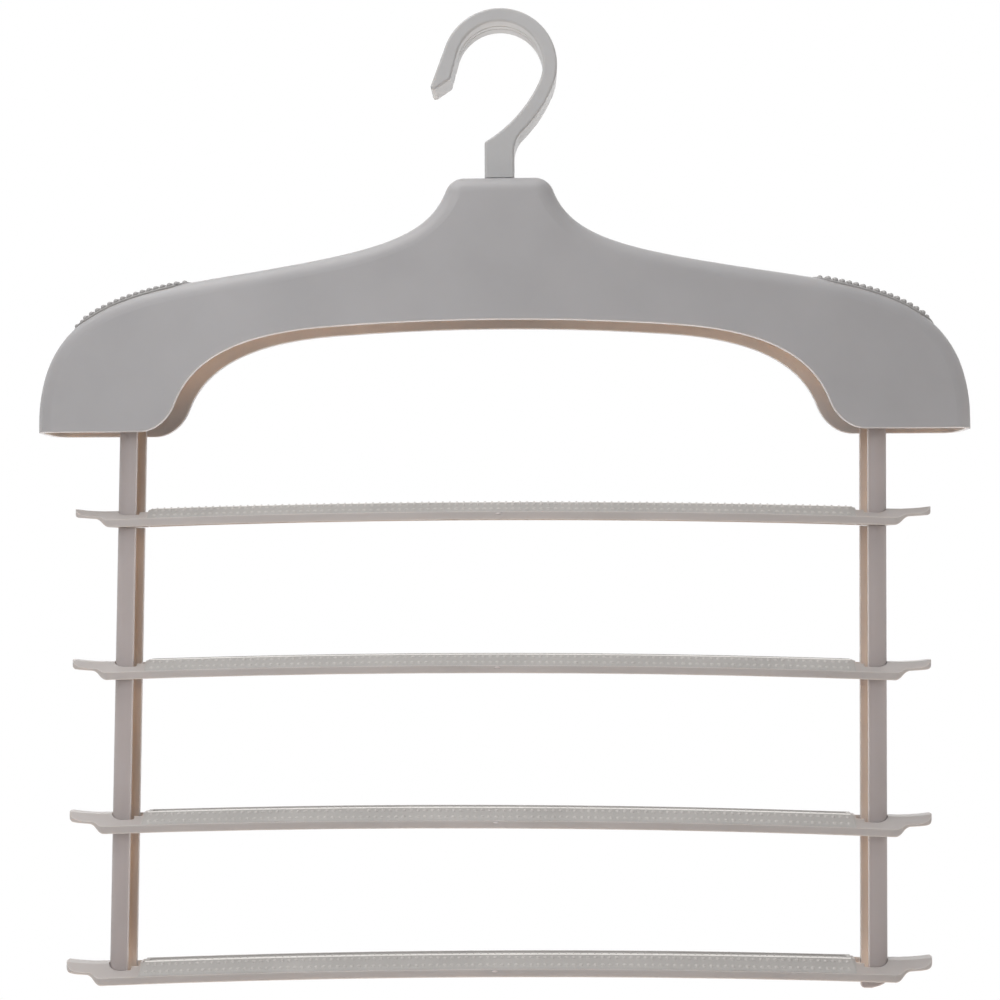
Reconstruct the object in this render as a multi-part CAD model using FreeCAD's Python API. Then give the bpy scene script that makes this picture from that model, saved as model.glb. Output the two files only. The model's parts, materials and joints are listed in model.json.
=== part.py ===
import FreeCAD, Part
import math
import os

from FreeCAD import Vector

# Multi-tier pants hanger: a hollow shoulder shell on a swivel hook, with trouser bars hung below on links.
# Millimetres. +Z is up, +X is to the right seen from the front, and -Y is the front.
# The origin is the centre of the closet rail, which is the centre of the hook's inner arc.

# Hook: a flat ribbon bent round the rail
rail_r = 19.0
hook_depth = 15.0
hook_thickness = 6.1
hook_back_shift = 0.1
hook_inner_lean_deg = 15.0
hook_outer_lean_deg = 20.0
hook_inner_leave_deg = 25.0
hook_outer_leave_deg = 22.0
hook_arm_r = 59.0
hook_arm_fillet = 13.0
hook_tip_inner_drop = 6.2
hook_tip_drop = 12.9
hook_tip_round = 1.4
hook_edge_round = 1.0
hook_groove_width = 0.6
hook_groove_depth = 0.35
hook_groove_spread = 1.6

# Hook stem, journal and split snap head
stem_width = 12.8
stem_length = 11.29
journal_r = 5.0
journal_clearance = 0.05
shoulder_gap = 0.3
snap_gap = 0.2
snap_overhang = 1.5
snap_land = 1.2
snap_height = 7.0
snap_tip_r = 3.8
snap_slot = 2.4
snap_slot_rise = 6.0

# Shoulder shell. A curve's pulls are shares of the distance between its two ends
shell_width = 400.4
shell_height = 109.95
shell_depth = 28.0
shell_wall = 2.0
shell_edge_r = 7.5
neck_half_width = 23.3
neck_corner_extra = 1.0
neck_flank_deg = 69.0
neck_pull_share = 0.228
flare_pull_share = 0.624
shoulder_x = 115.0
shoulder_drop = 41.25
shoulder_slope_deg = 9.0
shoulder_pull_share = 0.412
end_pull_share = 0.487
end_straight = 4.4
outline_steps = 12

# Arch between the shell's two feet, and the feet's flare into the rim
arch_rise = 47.5
arch_crown_r = 1020.0
arch_crown_half = 75.0
crown_pull_share = 0.485
haunch_pull_share = 0.3
arch_side_rise = 12.0
arch_side_deg = 70.0
foot_flare_run = 15.2
foot_step = 1.6
foot_pull_share = 0.413
rim_pull_share = 0.31

# Neck boss that carries the hook
boss_wall = 2.4
boss_length = 13.0
boss_rib = 1.5

# Shoulder grip pads
pad_length = 54.4
pad_end_inset = 12.4
pad_width = 22.0
pad_proud = 0.7
pad_seat = 0.8
pad_clearance = 0.08

# Links: U-section with a round web, open towards the middle of the hanger
link_inset = 33.6
link_width = 10.0
link_depth = 12.0
link_wall = 1.5
front_flange_step = 1.0
link_slot_clearance = 0.35
socket_rise = 24.9
bottom_link_trim = 1.5
chain_lean_deg = 0.6
butt_gap = 0.2
plug_clearance = 0.2
plug_thickness = 3.5
plug_rise = 6.0
plug_root = 8.0
nub_height = 2.1
nub_land = 0.7
nub_proud = 0.9
nub_half_width = 1.7
window_foot = 1.2
window_clearance = 0.2
barb_reach = 2.4
barb_round = 1.4
barb_gap = 0.15
notch_reach = 0.7
slot_window_run = 3.8
slot_window_gap = 0.2
last_foot_start = 2.0
last_foot_rise = 2.6

# Trouser bars: hollow, open below, crowned along their length, with tips that turn up
tier_count = 4
tier_pitch = 65.5
bar_margin = 4.0
bar_overhang = 18.85
bar_wall = 1.5
bar_skirt = 3.2
bar_seat_rise = 2.8
bar_deck_rise = 4.0
bar_deck_flat = 4.6
bar_crown_r = 4700.0
bar_pocket_room = 1.4
tongue_inset = 1.0
tip_turn_inset = 1.4
tip_turn_r = 100.0
tongue_half_width = 7.0
tongue_step_run = 7.3
tongue_step_rise = 3.7
tongue_under_rise = 0.5
tongue_nose_run = 3.0
tongue_nose_rise = 3.0
step_pull_share = 0.33
nose_pull_share = 0.39
bottom_bar_lift = 3.6

# Grip strips, let into a seat along each bar's deck
strip_edge = 0.5
strip_foot = 0.4
strip_proud = 0.5
strip_lip = 0.5
strip_slot_gap = 4.8
strip_groove_width = 4.4
strip_groove_depth = 1.1
strip_groove_inset = 1.9
strip_seat_gap = 0.05
peg_count = 7
peg_end_inset = 19.2
peg_r = 1.4
peg_clearance = 0.05
peg_tail = 0.6

# How far a cutting shape runs past what it cuts, the pulls of a plain curve, and how close two places are
# to count as one
margin = 1.0
half_share = 0.5
same_place = 0.01
same_curve = 0.05

# Heights and places worked out from the sizes above
sides = {"left": -1, "right": 1}
hook_back_r = rail_r + hook_thickness
stem_half = stem_width / 2
inner_leave = math.radians(hook_inner_leave_deg)
outer_leave = math.radians(hook_outer_leave_deg)
arm_centre = Vector(-math.cos(inner_leave), 0, math.sin(inner_leave)) * (hook_arm_r - rail_r)
back_centre = Vector(hook_back_shift, 0, -hook_back_shift)
arm_back_run = Vector(-math.cos(outer_leave), 0, math.sin(outer_leave)) * (hook_arm_r - hook_back_r)
arm_back_centre = back_centre + arm_back_run
fillet_x = stem_half + hook_arm_fillet
fillet_reach = hook_arm_r + hook_arm_fillet
fillet_drop = math.sqrt(fillet_reach ** 2 - (fillet_x - arm_back_centre.x) ** 2)
arm_fillet_centre = Vector(fillet_x, 0, arm_back_centre.z - fillet_drop)
neck_z = arm_fillet_centre.z - stem_length - shoulder_gap
neck_corner_r = shell_edge_r + neck_corner_extra
rim_z = neck_z - shell_height
boss_r = journal_r + journal_clearance + boss_wall
boss_z = neck_z - boss_length
link_inner_x = shell_width / 2 - link_inset - link_width
link_outer_x = link_inner_x + link_width
link_centre_x = link_inner_x + link_width / 2
flare_foot_half = link_inner_x - foot_step
arch_side_half = flare_foot_half - foot_flare_run
pad_outer_x = shell_width / 2 - pad_end_inset
pad_inner_x = pad_outer_x - pad_length
socket_z = rim_z + socket_rise
bar_half_length = link_outer_x + bar_overhang
bar_hollow_half = link_outer_x + bar_pocket_room
bar_half_depth = link_depth / 2 + bar_margin
bar_depth = 2 * bar_half_depth
tip_turn_x = link_outer_x + tip_turn_inset
tongue_x = link_outer_x + tongue_inset
crown_at_links = bar_crown_r - math.sqrt(bar_crown_r ** 2 - link_centre_x ** 2)
deck_slope = bar_deck_rise / (bar_half_depth - bar_deck_flat / 2)
seat_slope = bar_seat_rise / (bar_half_depth - bar_deck_flat / 2)
seat_drop = bar_wall * math.sqrt(1 + seat_slope ** 2)
barb_top = seat_slope * bar_margin - seat_drop - barb_gap
strip_rise = bar_deck_rise + strip_proud
strip_half_length = link_inner_x - strip_slot_gap
strip_half_depth = bar_half_depth - strip_edge


def xz(x, z):
    return Vector(x, 0, z)


def line(a, b):
    return Part.LineSegment(a, b).toShape()


def polar(centre, radius, angle):
    turn = math.radians(angle)
    return xz(centre.x + radius * math.cos(turn), centre.z + radius * math.sin(turn))


def arc(centre, radius, start, end):
    """An arc in the XZ plane, from one polar angle to another, in degrees."""
    middle = polar(centre, radius, (start + end) / 2)
    return Part.Arc(polar(centre, radius, start), middle, polar(centre, radius, end)).toShape()


def polar_angle(centre, point):
    return math.degrees(math.atan2(point.z - centre.z, point.x - centre.x))


def closed_lines(corners):
    return [line(a, b) for a, b in zip(corners, corners[1:] + corners[:1])]


def mirror_x(shape):
    """The same shape on the other side of the middle plane."""
    return shape.mirror(Vector(0, 0, 0), Vector(1, 0, 0))


def on_side(shape, side):
    """A shape made for the right side, put on the side asked for."""
    return mirror_x(shape) if sides[side] < 0 else shape


def plate(edges, half_depth):
    """A closed outline in the XZ plane made into a plate of the given half depth about Y = 0."""
    wire = Part.Wire(Part.__sortEdges__(edges))
    face = Part.Face(wire)
    face.translate(Vector(0, -half_depth, 0))
    return face.extrude(Vector(0, 2 * half_depth, 0))


def block(low, high):
    """A box between two corners."""
    size = high.sub(low)
    return Part.makeBox(size.x, size.y, size.z, low)


def round_edges(shape, radius, wanted):
    edges = [edge for edge in shape.Edges if wanted(edge)]
    return shape.makeFillet(radius, edges)


def long_prism(half_length, radius, low, high):
    """A tall prism over a long outline with round ends, centred on the middle plane."""
    straight = half_length - radius
    body = block(Vector(-straight, -radius, low), Vector(straight, radius, high))
    ends = [Part.makeCylinder(radius, high - low, xz(x, low)) for x in (-straight, straight)]
    return body.fuse(ends).removeSplitter()


def save(shape, name):
    shape.exportStep("parts/" + name + ".step")
    box = shape.BoundBox
    extent = [round(v, 2) for v in (box.XMin, box.XMax, box.YMin, box.YMax, box.ZMin, box.ZMax)]
    print(name, len(shape.Solids), shape.isValid(), round(shape.Volume, 1), extent)


# Hook


def hook_inner_edges():
    """The rail side of the ribbon, from the tip to the stem, with its two ends."""
    start = 180 - hook_inner_lean_deg
    leave = -hook_inner_leave_deg
    lean = math.radians(hook_inner_lean_deg)
    top = polar(Vector(), rail_r, start)
    run = (top.z + hook_tip_inner_drop) * math.tan(lean)
    tip = xz(top.x - run, -hook_tip_inner_drop)
    end = -math.degrees(math.acos((-stem_half - arm_centre.x) / hook_arm_r))
    edges = [
        line(tip, top),
        arc(Vector(), rail_r, start, leave),
        arc(arm_centre, hook_arm_r, leave, end),
    ]
    return edges, tip, polar(arm_centre, hook_arm_r, end)


def hook_outer_edges():
    """The back of the ribbon, from the tip to the stem, with its two ends."""
    start = 180 - hook_outer_lean_deg
    leave = -hook_outer_leave_deg
    lean = math.radians(hook_outer_lean_deg)
    top = polar(back_centre, hook_back_r, start)
    run = (top.z + hook_tip_drop) * math.tan(lean)
    tip = xz(top.x - run, -hook_tip_drop)
    end = polar_angle(arm_back_centre, arm_fillet_centre)
    edges = [
        line(tip, top),
        arc(back_centre, hook_back_r, start, leave),
        arc(arm_back_centre, hook_arm_r, leave, end),
        arc(arm_fillet_centre, hook_arm_fillet, end + 180, 180),
    ]
    return edges, tip, xz(stem_half, arm_fillet_centre.z)


def rail_grooves():
    """Two fine grooves along the ribbon's rail side."""
    start = 180 - hook_inner_lean_deg
    end = -hook_inner_leave_deg
    near = rail_r - hook_groove_depth
    far = rail_r + hook_groove_depth
    edges = [
        arc(Vector(), near, start, end),
        line(polar(Vector(), near, end), polar(Vector(), far, end)),
        arc(Vector(), far, start, end),
        line(polar(Vector(), far, start), polar(Vector(), near, start)),
    ]
    ring = plate(edges, hook_groove_width / 2)
    return [ring.translated(Vector(0, way * hook_groove_spread, 0)) for way in (-1, 1)]


def hook_ribbon(foot_z):
    """The bent ribbon and its stem, with rounded edges, down to the stem's foot."""
    inner, inner_tip, inner_stem = hook_inner_edges()
    outer, outer_tip, outer_stem = hook_outer_edges()
    foot_left = xz(-stem_half, foot_z)
    foot_right = xz(stem_half, foot_z)
    stem = [line(inner_stem, foot_left), line(foot_left, foot_right), line(foot_right, outer_stem)]
    half = hook_depth / 2
    ribbon = plate(inner + outer + stem + [line(inner_tip, outer_tip)], half)

    def is_corner(edge):
        across = abs(edge.BoundBox.YLength - hook_depth) < same_place
        place = edge.CenterOfMass
        corners = [inner_tip, outer_tip, inner_stem]
        return across and any(math.hypot(place.x - p.x, place.z - p.z) < same_place for p in corners)

    def is_face_edge(edge):
        box = edge.BoundBox
        on_face = box.YLength < same_place and abs(abs(box.YMin) - half) < same_place
        return on_face and box.ZMax > foot_z + same_place

    ribbon = round_edges(ribbon, hook_tip_round, is_corner)
    ribbon = round_edges(ribbon, hook_edge_round, is_face_edge)
    return ribbon.cut(rail_grooves())


def swivel_hook():
    """The ribbon, with the journal and the split snap head below its stem."""
    foot_z = neck_z + shoulder_gap
    catch_z = boss_z - snap_gap
    land_z = catch_z - snap_land
    tip_z = catch_z - snap_height
    head_r = journal_r + snap_overhang
    journal = Part.makeCylinder(journal_r, foot_z - land_z, xz(0, land_z))
    land = Part.makeCylinder(head_r, snap_land, xz(0, land_z))
    cone = Part.makeCone(snap_tip_r, head_r, land_z - tip_z, xz(0, tip_z))
    hook = hook_ribbon(foot_z).fuse([journal, land, cone]).removeSplitter()
    slot_low = Vector(-snap_slot / 2, -head_r - margin, tip_z - margin)
    slot_high = Vector(snap_slot / 2, head_r + margin, catch_z + snap_slot_rise)
    return hook.cut(block(slot_low, slot_high))


# Shoulder shell


def curve_poles(start, start_angle, start_share, end, end_angle, end_share):
    """Poles of a cubic curve from its two ends, their directions below the level, and its pulls."""
    first = math.radians(start_angle)
    last = math.radians(end_angle)
    span = end.sub(start).Length
    out = xz(math.cos(first), -math.sin(first)) * (start_share * span)
    back = xz(math.cos(last), -math.sin(last)) * (end_share * span)
    return [start, start + out, end - back, end]


def curve_edge(poles, offset=0.0):
    """A cubic curve moved sideways by an offset, to its left as it runs."""
    a, b, c, d = poles
    points = []
    headings = []
    for step in range(outline_steps + 1):
        t = step / outline_steps
        s = 1 - t
        place = a * s ** 3 + b * (3 * t * s ** 2) + c * (3 * t ** 2 * s) + d * t ** 3
        heading = (b - a) * s ** 2 + (c - b) * (2 * t * s) + (d - c) * t ** 2
        heading.normalize()
        points.append(place + xz(-heading.z, heading.x) * offset)
        headings.append(heading)
    curve = Part.BSplineCurve()
    curve.interpolate(Points=points, InitialTangent=headings[0], FinalTangent=headings[-1])
    return curve.toShape()


def top_outline(offset, bottom_z):
    """The right half of the shell's upper outline, from the middle to the foot, moved out by an offset."""
    flank = math.radians(neck_flank_deg)
    corner = xz(neck_half_width - neck_corner_r * math.sin(flank), neck_z - neck_corner_r)
    neck = polar(corner, neck_corner_r, 90 - neck_flank_deg)
    shoulder = xz(shoulder_x, neck_z - shoulder_drop)
    foot = xz(shell_width / 2, rim_z + end_straight)
    flare = curve_poles(neck, neck_flank_deg, neck_pull_share, shoulder, shoulder_slope_deg, flare_pull_share)
    bend = curve_poles(shoulder, shoulder_slope_deg, shoulder_pull_share, foot, 90, end_pull_share)
    corner_r = neck_corner_r + offset
    foot_x = foot.x + offset
    return [
        line(xz(0, neck_z + offset), polar(corner, corner_r, 90)),
        arc(corner, corner_r, 90, 90 - neck_flank_deg),
        curve_edge(flare, offset),
        curve_edge(bend, offset),
        line(xz(foot_x, foot.z), xz(foot_x, bottom_z)),
    ]


def rim_outline():
    """The right half of the lower outline, from the rim's end to the top of the arch."""
    foot = xz(flare_foot_half, rim_z)
    side = xz(arch_side_half, rim_z + arch_side_rise)
    crown_centre = xz(0, rim_z + arch_rise - arch_crown_r)
    turn = math.degrees(math.asin(arch_crown_half / arch_crown_r))
    crown = polar(crown_centre, arch_crown_r, 90 - turn)
    haunch = curve_poles(crown, turn, crown_pull_share, side, arch_side_deg, haunch_pull_share)
    flare = curve_poles(side, arch_side_deg, foot_pull_share, foot, 0, rim_pull_share)
    return [
        line(xz(shell_width / 2, rim_z), foot),
        curve_edge(flare),
        curve_edge(haunch),
        arc(crown_centre, arch_crown_r, 90 - turn, 90),
    ]


def with_mirror(edges):
    return edges + [mirror_x(edge) for edge in reversed(edges)]


def rounded_loaf(edges, offset):
    """A plate as deep as the shell, moved out by an offset, with its upper outline rounded on both faces."""
    half = shell_depth / 2 + offset
    end_x = shell_width / 2 + offset
    centres = [edge.CenterOfMass for edge in top_outline(offset, rim_z)[:-1]]

    def is_upper(edge):
        box = edge.BoundBox
        if box.YLength > same_place or abs(abs(box.YMin) - half) > same_place:
            return False
        place = edge.CenterOfMass
        if box.XLength < same_place and abs(abs(place.x) - end_x) < same_place:
            return True
        return any(math.hypot(abs(place.x) - c.x, place.z - c.z) < same_curve for c in centres)

    return round_edges(plate(edges, half), shell_edge_r + offset, is_upper)


def full_loaf(offset, bottom_z):
    """The whole shell as a solid with no arch, moved out by an offset and flat below."""
    end_x = shell_width / 2 + offset
    floor = line(xz(end_x, bottom_z), xz(-end_x, bottom_z))
    return rounded_loaf(with_mirror(top_outline(offset, bottom_z)) + [floor], offset)


def section_face(inset, mouth):
    """The U-shaped outline of a link in plan, drawn in by an inset, with its mouth at the given X."""
    half = link_depth / 2 - inset
    bend_x = link_width - link_depth / 2
    front = Vector(bend_x, -half, 0)
    rear = Vector(bend_x, half, 0)
    edges = [
        line(Vector(mouth, -half, 0), front),
        Part.Arc(front, Vector(bend_x + half, 0, 0), rear).toShape(),
        line(rear, Vector(mouth, half, 0)),
        line(Vector(mouth, half, 0), Vector(mouth, -half, 0)),
    ]
    return Part.Face(Part.Wire(edges))


def section_prism(inset, mouth, low, high):
    """The U outline raised between two heights, with the link's mouth at X = 0 and its web at +X."""
    prism = section_face(inset, mouth).extrude(Vector(0, 0, high - low))
    return prism.translated(Vector(0, 0, low))


def channel(low, high):
    """A length of the U-section, whose front flange stands back a little from the mouth."""
    bore = section_prism(link_wall, -margin, low - margin, high + margin)
    step_low = Vector(-margin, -link_depth, low - margin)
    step = block(step_low, Vector(front_flange_step, 0, high + margin))
    return section_prism(0.0, 0.0, low, high).cut([bore, step])


def snap_window(foot):
    """The opening in a channel's web that takes the next link's nub, above the channel's lower end."""
    reach = nub_half_width + window_clearance
    low_z = foot + window_foot
    high_z = low_z + nub_height + 2 * window_clearance
    low = Vector(link_width - link_wall - margin, -reach, low_z)
    return block(low, Vector(link_width + margin, reach, high_z))


def place_link(shape, side, lift):
    """Moves a shape from the link's own frame to its place on one side of the hanger."""
    return on_side(shape.translated(Vector(link_inner_x, 0, lift)), side)


def link_socket(side, core):
    """A stub of channel inside the shell, with a rib to the shell's front and rear walls."""
    top = neck_z - socket_z
    rib_foot = window_foot + nub_height + link_wall
    rib_low = Vector(link_width - link_wall, -shell_depth / 2, rib_foot)
    rib = block(rib_low, Vector(link_width, shell_depth / 2, top))
    post = channel(0, top).cut(snap_window(0)).fuse(rib)
    return place_link(post, side, socket_z).common(core)


def neck_boss(core):
    """The boss round the hook's journal, with two crossed ribs to the neck's walls."""
    tube = Part.makeCylinder(boss_r, boss_length, xz(0, boss_z))
    half = boss_rib / 2
    reach = shell_width / 2
    along = block(Vector(-reach, -half, boss_z), Vector(reach, half, neck_z))
    across = block(Vector(-half, -reach, boss_z), Vector(half, reach, neck_z))
    return tube.fuse([along, across]).common(core)


def pad_footprint(side, grow):
    """The pad's outline seen from above, a long shape with round ends, as a tall prism."""
    prism = long_prism(pad_length / 2 + grow, pad_width / 2 + grow, rim_z, neck_z)
    return on_side(prism.translated(xz((pad_inner_x + pad_outer_x) / 2, 0)), side)


def shoulder_pad(side):
    outer = full_loaf(pad_proud, rim_z)
    seat = full_loaf(-pad_seat, rim_z - margin)
    return outer.common(pad_footprint(side, 0.0)).cut(seat)


def shoulder_shell():
    body = rounded_loaf(with_mirror(top_outline(0.0, rim_z) + rim_outline()), 0.0)
    core = full_loaf(-shell_wall / 2, rim_z - margin)
    body = body.cut(full_loaf(-shell_wall, rim_z - margin))
    body = body.fuse([neck_boss(core)] + [link_socket(side, core) for side in sides])
    bore_r = journal_r + journal_clearance
    body = body.cut(Part.makeCylinder(bore_r, boss_length + 2 * margin, xz(0, boss_z - margin)))
    floor = full_loaf(-pad_seat - pad_clearance, rim_z - margin)
    return body.cut([pad_footprint(side, pad_clearance).cut(floor) for side in sides])


# Links


def web_side(prism):
    """The part of a U-shaped prism that lies against the link's web, as thick as the plug."""
    box = prism.BoundBox
    low = Vector(link_width - link_wall - plug_thickness, box.YMin - margin, box.ZMin - margin)
    high = Vector(link_width, box.YMax + margin, box.ZMax + margin)
    return prism.common(block(low, high))


def snap_nub(shoulder):
    """The nub on the plug, square below and sloped above, so that it snaps in and stays."""
    low = shoulder + butt_gap + window_foot + window_clearance
    root = link_width - link_wall - plug_thickness / 2
    face = link_width - link_wall + nub_proud
    corners = [(root, low), (face, low), (face, low + nub_land), (root, low + nub_height)]
    return plate(closed_lines([xz(x, z) for x, z in corners]), nub_half_width)


def link_barb(front):
    """The barb at the lower end of one flange, which hooks under the bar's deck."""
    reach = sorted([front * link_depth / 2, front * (link_depth / 2 - link_wall)])
    root_x = front_flange_step + link_wall
    barb = block(Vector(-barb_reach, reach[0], -bar_skirt), Vector(root_x, reach[1], barb_top))
    radius = min(barb_round, (barb_top + bar_skirt) / 2)

    def is_toe(edge):
        box = edge.BoundBox
        return box.XMax < 0 and box.ZMax < same_place - bar_skirt and box.YLength > same_place

    return round_edges(barb, radius, is_toe)


def last_foot():
    """What is cut from the foot of a lowest link, which carries no other link: it slants up to the web."""
    low = -bar_skirt
    end = xz(link_width + margin, low + last_foot_rise)
    corners = [xz(last_foot_start, low), end, xz(end.x, low - margin), xz(last_foot_start, low - margin)]
    return plate(closed_lines(corners), link_depth)


def link(pitch, is_last):
    """One link of a tier, with its bar's crease at Z = 0, its mouth at X = 0 and its web at +X."""
    shoulder = pitch - bar_skirt - butt_gap
    root = web_side(section_prism(link_wall, 0.0, shoulder - plug_root, shoulder))
    plug = web_side(section_prism(link_wall + plug_clearance, 0.0, shoulder, shoulder + plug_rise))
    body = channel(-bar_skirt, shoulder)
    body = body.fuse([root, plug, snap_nub(shoulder), link_barb(-1), link_barb(1)]).removeSplitter()
    return body.cut(last_foot() if is_last else snap_window(-bar_skirt))


# Bars


def bar_point(y, z):
    """A point of the bar's section at mid-length, with Z counted from the crease."""
    return Vector(0, y, z + crown_at_links)


def crown_z(x):
    """The crease's height at a place along the bar, counted from its height at the links."""
    return math.sqrt(bar_crown_r ** 2 - x ** 2) - bar_crown_r + crown_at_links


def whole_section(front):
    """A face of the bar's section at mid-length, from the points of its front half."""
    section = front + [Vector(p.x, -p.y, p.z) for p in reversed(front)]
    return Part.Face(Part.makePolygon(section + section[:1]))


def crown_angle(x):
    return math.degrees(math.asin(x / bar_crown_r))


def crowned(front, half_length):
    """The front half of a section, completed with its rear half and swept along the bar's crown."""
    axis = xz(0, crown_at_links - bar_crown_r)
    angle = crown_angle(half_length)
    face = whole_section(front)
    face.rotate(axis, Vector(0, 1, 0), -angle)
    return face.revolve(axis, Vector(0, 1, 0), 2 * angle)


def turned_up(front):
    """The section swept on from the right end of the crown, along an arc that turns up to the tip."""
    axis = xz(0, crown_at_links - bar_crown_r)
    angle = crown_angle(tip_turn_x)
    face = whole_section(front)
    face.rotate(axis, Vector(0, 1, 0), angle)
    pivot = polar(axis, bar_crown_r + tip_turn_r, 90 - angle)
    run = bar_half_length + margin - tip_turn_x
    return face.revolve(pivot, Vector(0, 1, 0), -math.degrees(run / tip_turn_r))


def bar_plan():
    """The bar's outline seen from above as a tall prism: each end narrows to a round-ended tongue."""
    start = xz(tongue_x, bar_half_depth)
    end = xz(tongue_x + tongue_step_run, tongue_half_width)
    round_end = xz(bar_half_length - tongue_half_width, 0)
    quarter = [
        line(xz(0, start.z), start),
        curve_edge(curve_poles(start, 0, half_share, end, 0, half_share)),
        line(end, polar(round_end, tongue_half_width, 90)),
        arc(round_end, tongue_half_width, 90, 0),
    ]
    half = quarter + [edge.mirror(Vector(), Vector(0, 0, 1)) for edge in quarter]
    prism = plate(half + [mirror_x(edge) for edge in half], bar_depth)
    prism.rotate(Vector(), Vector(1, 0, 0), 90)
    return prism


def bar_body():
    front = [
        bar_point(-bar_deck_flat / 2, bar_deck_rise),
        bar_point(-bar_half_depth, 0),
        bar_point(-bar_half_depth, -bar_skirt),
    ]
    tip = turned_up(front)
    body = crowned(front, tip_turn_x).fuse([tip, mirror_x(tip)]).removeSplitter()
    return body.common(bar_plan())


def bar_hollow():
    half = bar_half_depth - bar_wall
    roof = bar_seat_rise - bar_wall
    roof_half = bar_half_depth - (roof + seat_drop) / seat_slope
    front = [
        bar_point(-roof_half, roof),
        bar_point(-half, seat_slope * bar_wall - seat_drop),
        bar_point(-half, -bar_skirt - margin),
    ]
    return crowned(front, bar_hollow_half)


def strip_seat():
    """The shallow seat along the deck that takes the grip strip."""
    half = strip_half_depth + strip_seat_gap
    front = [
        bar_point(-half, bar_depth),
        bar_point(-half, seat_slope * (bar_half_depth - half)),
        bar_point(-bar_deck_flat / 2, bar_seat_rise),
    ]
    return crowned(front, strip_half_length + strip_seat_gap)


def tongue_undercut():
    """The cut under the right tip: a soft step up from the skirt, the tongue's underside and its nose."""
    start = xz(tongue_x, crown_z(tongue_x) - bar_skirt)
    step_end = start + xz(tongue_step_run, tongue_step_rise)
    nose = xz(bar_half_length - tongue_nose_run, step_end.z + tongue_under_rise)
    tip = nose + xz(tongue_nose_run, tongue_nose_rise)
    rise_deg = -polar_angle(step_end, nose)
    outer_x = tip.x + margin
    floor = start.z - bar_skirt
    corners = [tip, xz(outer_x, tip.z), xz(outer_x, floor), xz(start.x, floor), start]
    edges = [
        curve_edge(curve_poles(start, 0, step_pull_share, step_end, rise_deg, step_pull_share)),
        line(step_end, nose),
        curve_edge(curve_poles(nose, rise_deg, nose_pull_share, tip, -90, nose_pull_share)),
    ]
    return plate(edges + closed_lines(corners)[:-1], bar_depth)


def link_slot(side):
    """The slot for a link's foot, with two notches that let its barbs pass and a window between them."""
    low = -bar_skirt - margin
    high = bar_depth
    slot = section_prism(-link_slot_clearance, -link_slot_clearance, low, high)
    far = link_depth / 2 + link_slot_clearance
    near = link_depth / 2 - link_wall
    notches = [
        block(Vector(-notch_reach, -far, low), Vector(link_wall, -near, high)),
        block(Vector(-notch_reach, near, low), Vector(link_wall, far, high)),
    ]
    window_half = near - slot_window_gap
    window = block(Vector(-slot_window_run, -window_half, low), Vector(link_wall, window_half, high))
    return place_link(slot.fuse(notches + [window]), side, 0)


def pegs(radius, low, high):
    """The row of pegs along the bar, between two heights over the crease."""
    reach = strip_half_length - peg_end_inset
    places = [reach * (2 * index / (peg_count - 1) - 1) for index in range(peg_count)]
    return [Part.makeCylinder(radius, high - low, xz(x, crown_z(x) + low)) for x in places]


def trouser_bar():
    """One bar, with its crease at Z = 0 where the links pass."""
    undercut = tongue_undercut()
    cuts = [bar_hollow(), strip_seat(), undercut, mirror_x(undercut)]
    cuts += [link_slot(side) for side in sides]
    cuts += pegs(peg_r + peg_clearance, 0, bar_depth)
    return bar_body().cut(cuts)


def strip_ramp():
    """What is cut from the strip's right end to leave a ramp up from the deck."""
    foot = xz(strip_half_length, crown_z(strip_half_length) + bar_deck_rise)
    rise = strip_proud + margin
    corners = [foot, foot + xz(-rise, rise), foot + xz(rise, rise), foot + xz(rise, 0)]
    return plate(closed_lines(corners), bar_depth)


def strip_body():
    front = [
        bar_point(-strip_groove_width / 2 - strip_lip, strip_rise),
        bar_point(-strip_half_depth, deck_slope * strip_edge + strip_foot),
        bar_point(-strip_half_depth, seat_slope * strip_edge + strip_seat_gap),
        bar_point(-bar_deck_flat / 2, bar_seat_rise + strip_seat_gap),
    ]
    return crowned(front, strip_half_length)


def strip_groove():
    """The groove along the strip's top, with round ends."""
    half = strip_groove_width / 2
    floor = strip_rise - strip_groove_depth
    end_x = strip_half_length - strip_proud - strip_groove_inset - half
    run = crowned([bar_point(-half, 2 * strip_rise), bar_point(-half, floor)], end_x)
    ends = [Part.makeCylinder(half, strip_rise, xz(x, crown_z(x) + floor)) for x in (-end_x, end_x)]
    return [run] + ends


def grip_strip():
    """The studded ridge on a bar's deck between its links, with a groove along its top."""
    ramp = strip_ramp()
    body = strip_body().cut([ramp, mirror_x(ramp)] + strip_groove())
    return body.fuse(pegs(peg_r, bar_seat_rise - bar_wall - peg_tail, bar_seat_rise + strip_foot))


# Tiers


def link_pitch(tier):
    """The drop from one bar's crease to the next one's. The lowest links are a little shorter."""
    return tier_pitch - bottom_link_trim if tier == tier_count - 1 else tier_pitch


def crease_z(tier):
    return socket_z + bar_skirt - sum(link_pitch(above) for above in range(tier + 1))


def lean_x(z):
    """How far to the right the chains are at a height: their joints' play lets them hang to the left."""
    return (z - socket_z) * math.tan(math.radians(chain_lean_deg))


def hang_link(shape, side, tier):
    """A link in its place, turned about its chain's socket by the lean."""
    placed = place_link(shape, side, crease_z(tier))
    placed.rotate(xz(sides[side] * link_inner_x, socket_z), Vector(0, 1, 0), chain_lean_deg)
    return placed


def hang_bar(shape, tier):
    """A bar or its strip in its place. The lowest bar's right end sits a little high on its link."""
    height = crease_z(tier)
    placed = shape.translated(xz(lean_x(height), height))
    if tier == tier_count - 1:
        tilt = math.degrees(math.atan2(bottom_bar_lift, 2 * link_centre_x))
        placed.rotate(xz(lean_x(height) - link_centre_x, height), Vector(0, 1, 0), -tilt)
    return placed


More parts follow.
